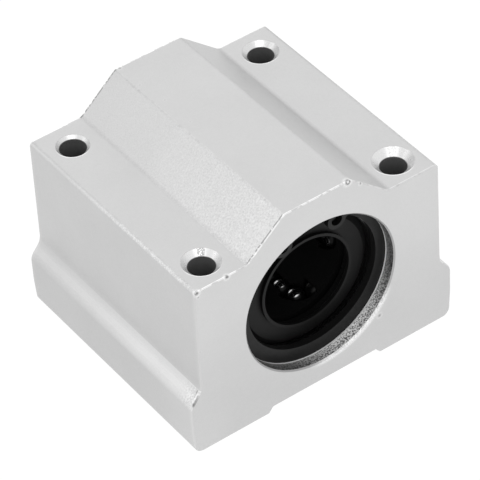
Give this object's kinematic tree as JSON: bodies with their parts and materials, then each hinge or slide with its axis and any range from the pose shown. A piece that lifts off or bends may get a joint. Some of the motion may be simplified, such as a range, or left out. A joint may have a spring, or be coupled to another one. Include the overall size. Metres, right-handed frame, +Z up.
{
  "type": "linear bearing block",
  "caption": "Aluminium linear bearing block with a sealed ball bushing for a round shaft, held by circlips and bolted down through its deck.",
  "frame": {"origin": "centre of the underside, on the plane the two feet stand on", "axes": "+Z up, +Y along the bore away from the end that the picture shows, +X across the block to the right of that end"},
  "size_m": [0.05, 0.044, 0.0385],
  "materials": {
    "housing_aluminium": "blasted and clear anodised",
    "bearing_steel": "ground",
    "cage_resin": "moulded, satin",
    "ball_steel": "polished",
    "spring_steel": "phosphated, oiled",
    "seal_rubber": "moulded, satin"
  },
  "bodies": {
    "root": {"housing": "housing_aluminium", "bearing_sleeve": "bearing_steel", "ball_cage": "cage_resin", "ball_circuit_1": "ball_steel", "ball_circuit_2": "ball_steel", "ball_circuit_3": "ball_steel", "ball_circuit_4": "ball_steel", "ball_circuit_5": "ball_steel", "snap_ring_front": "spring_steel", "snap_ring_rear": "spring_steel", "seal_front": "seal_rubber", "seal_rear": "seal_rubber", "circlip_front": "spring_steel", "circlip_rear": "spring_steel"}
  },
  "joints": []
}
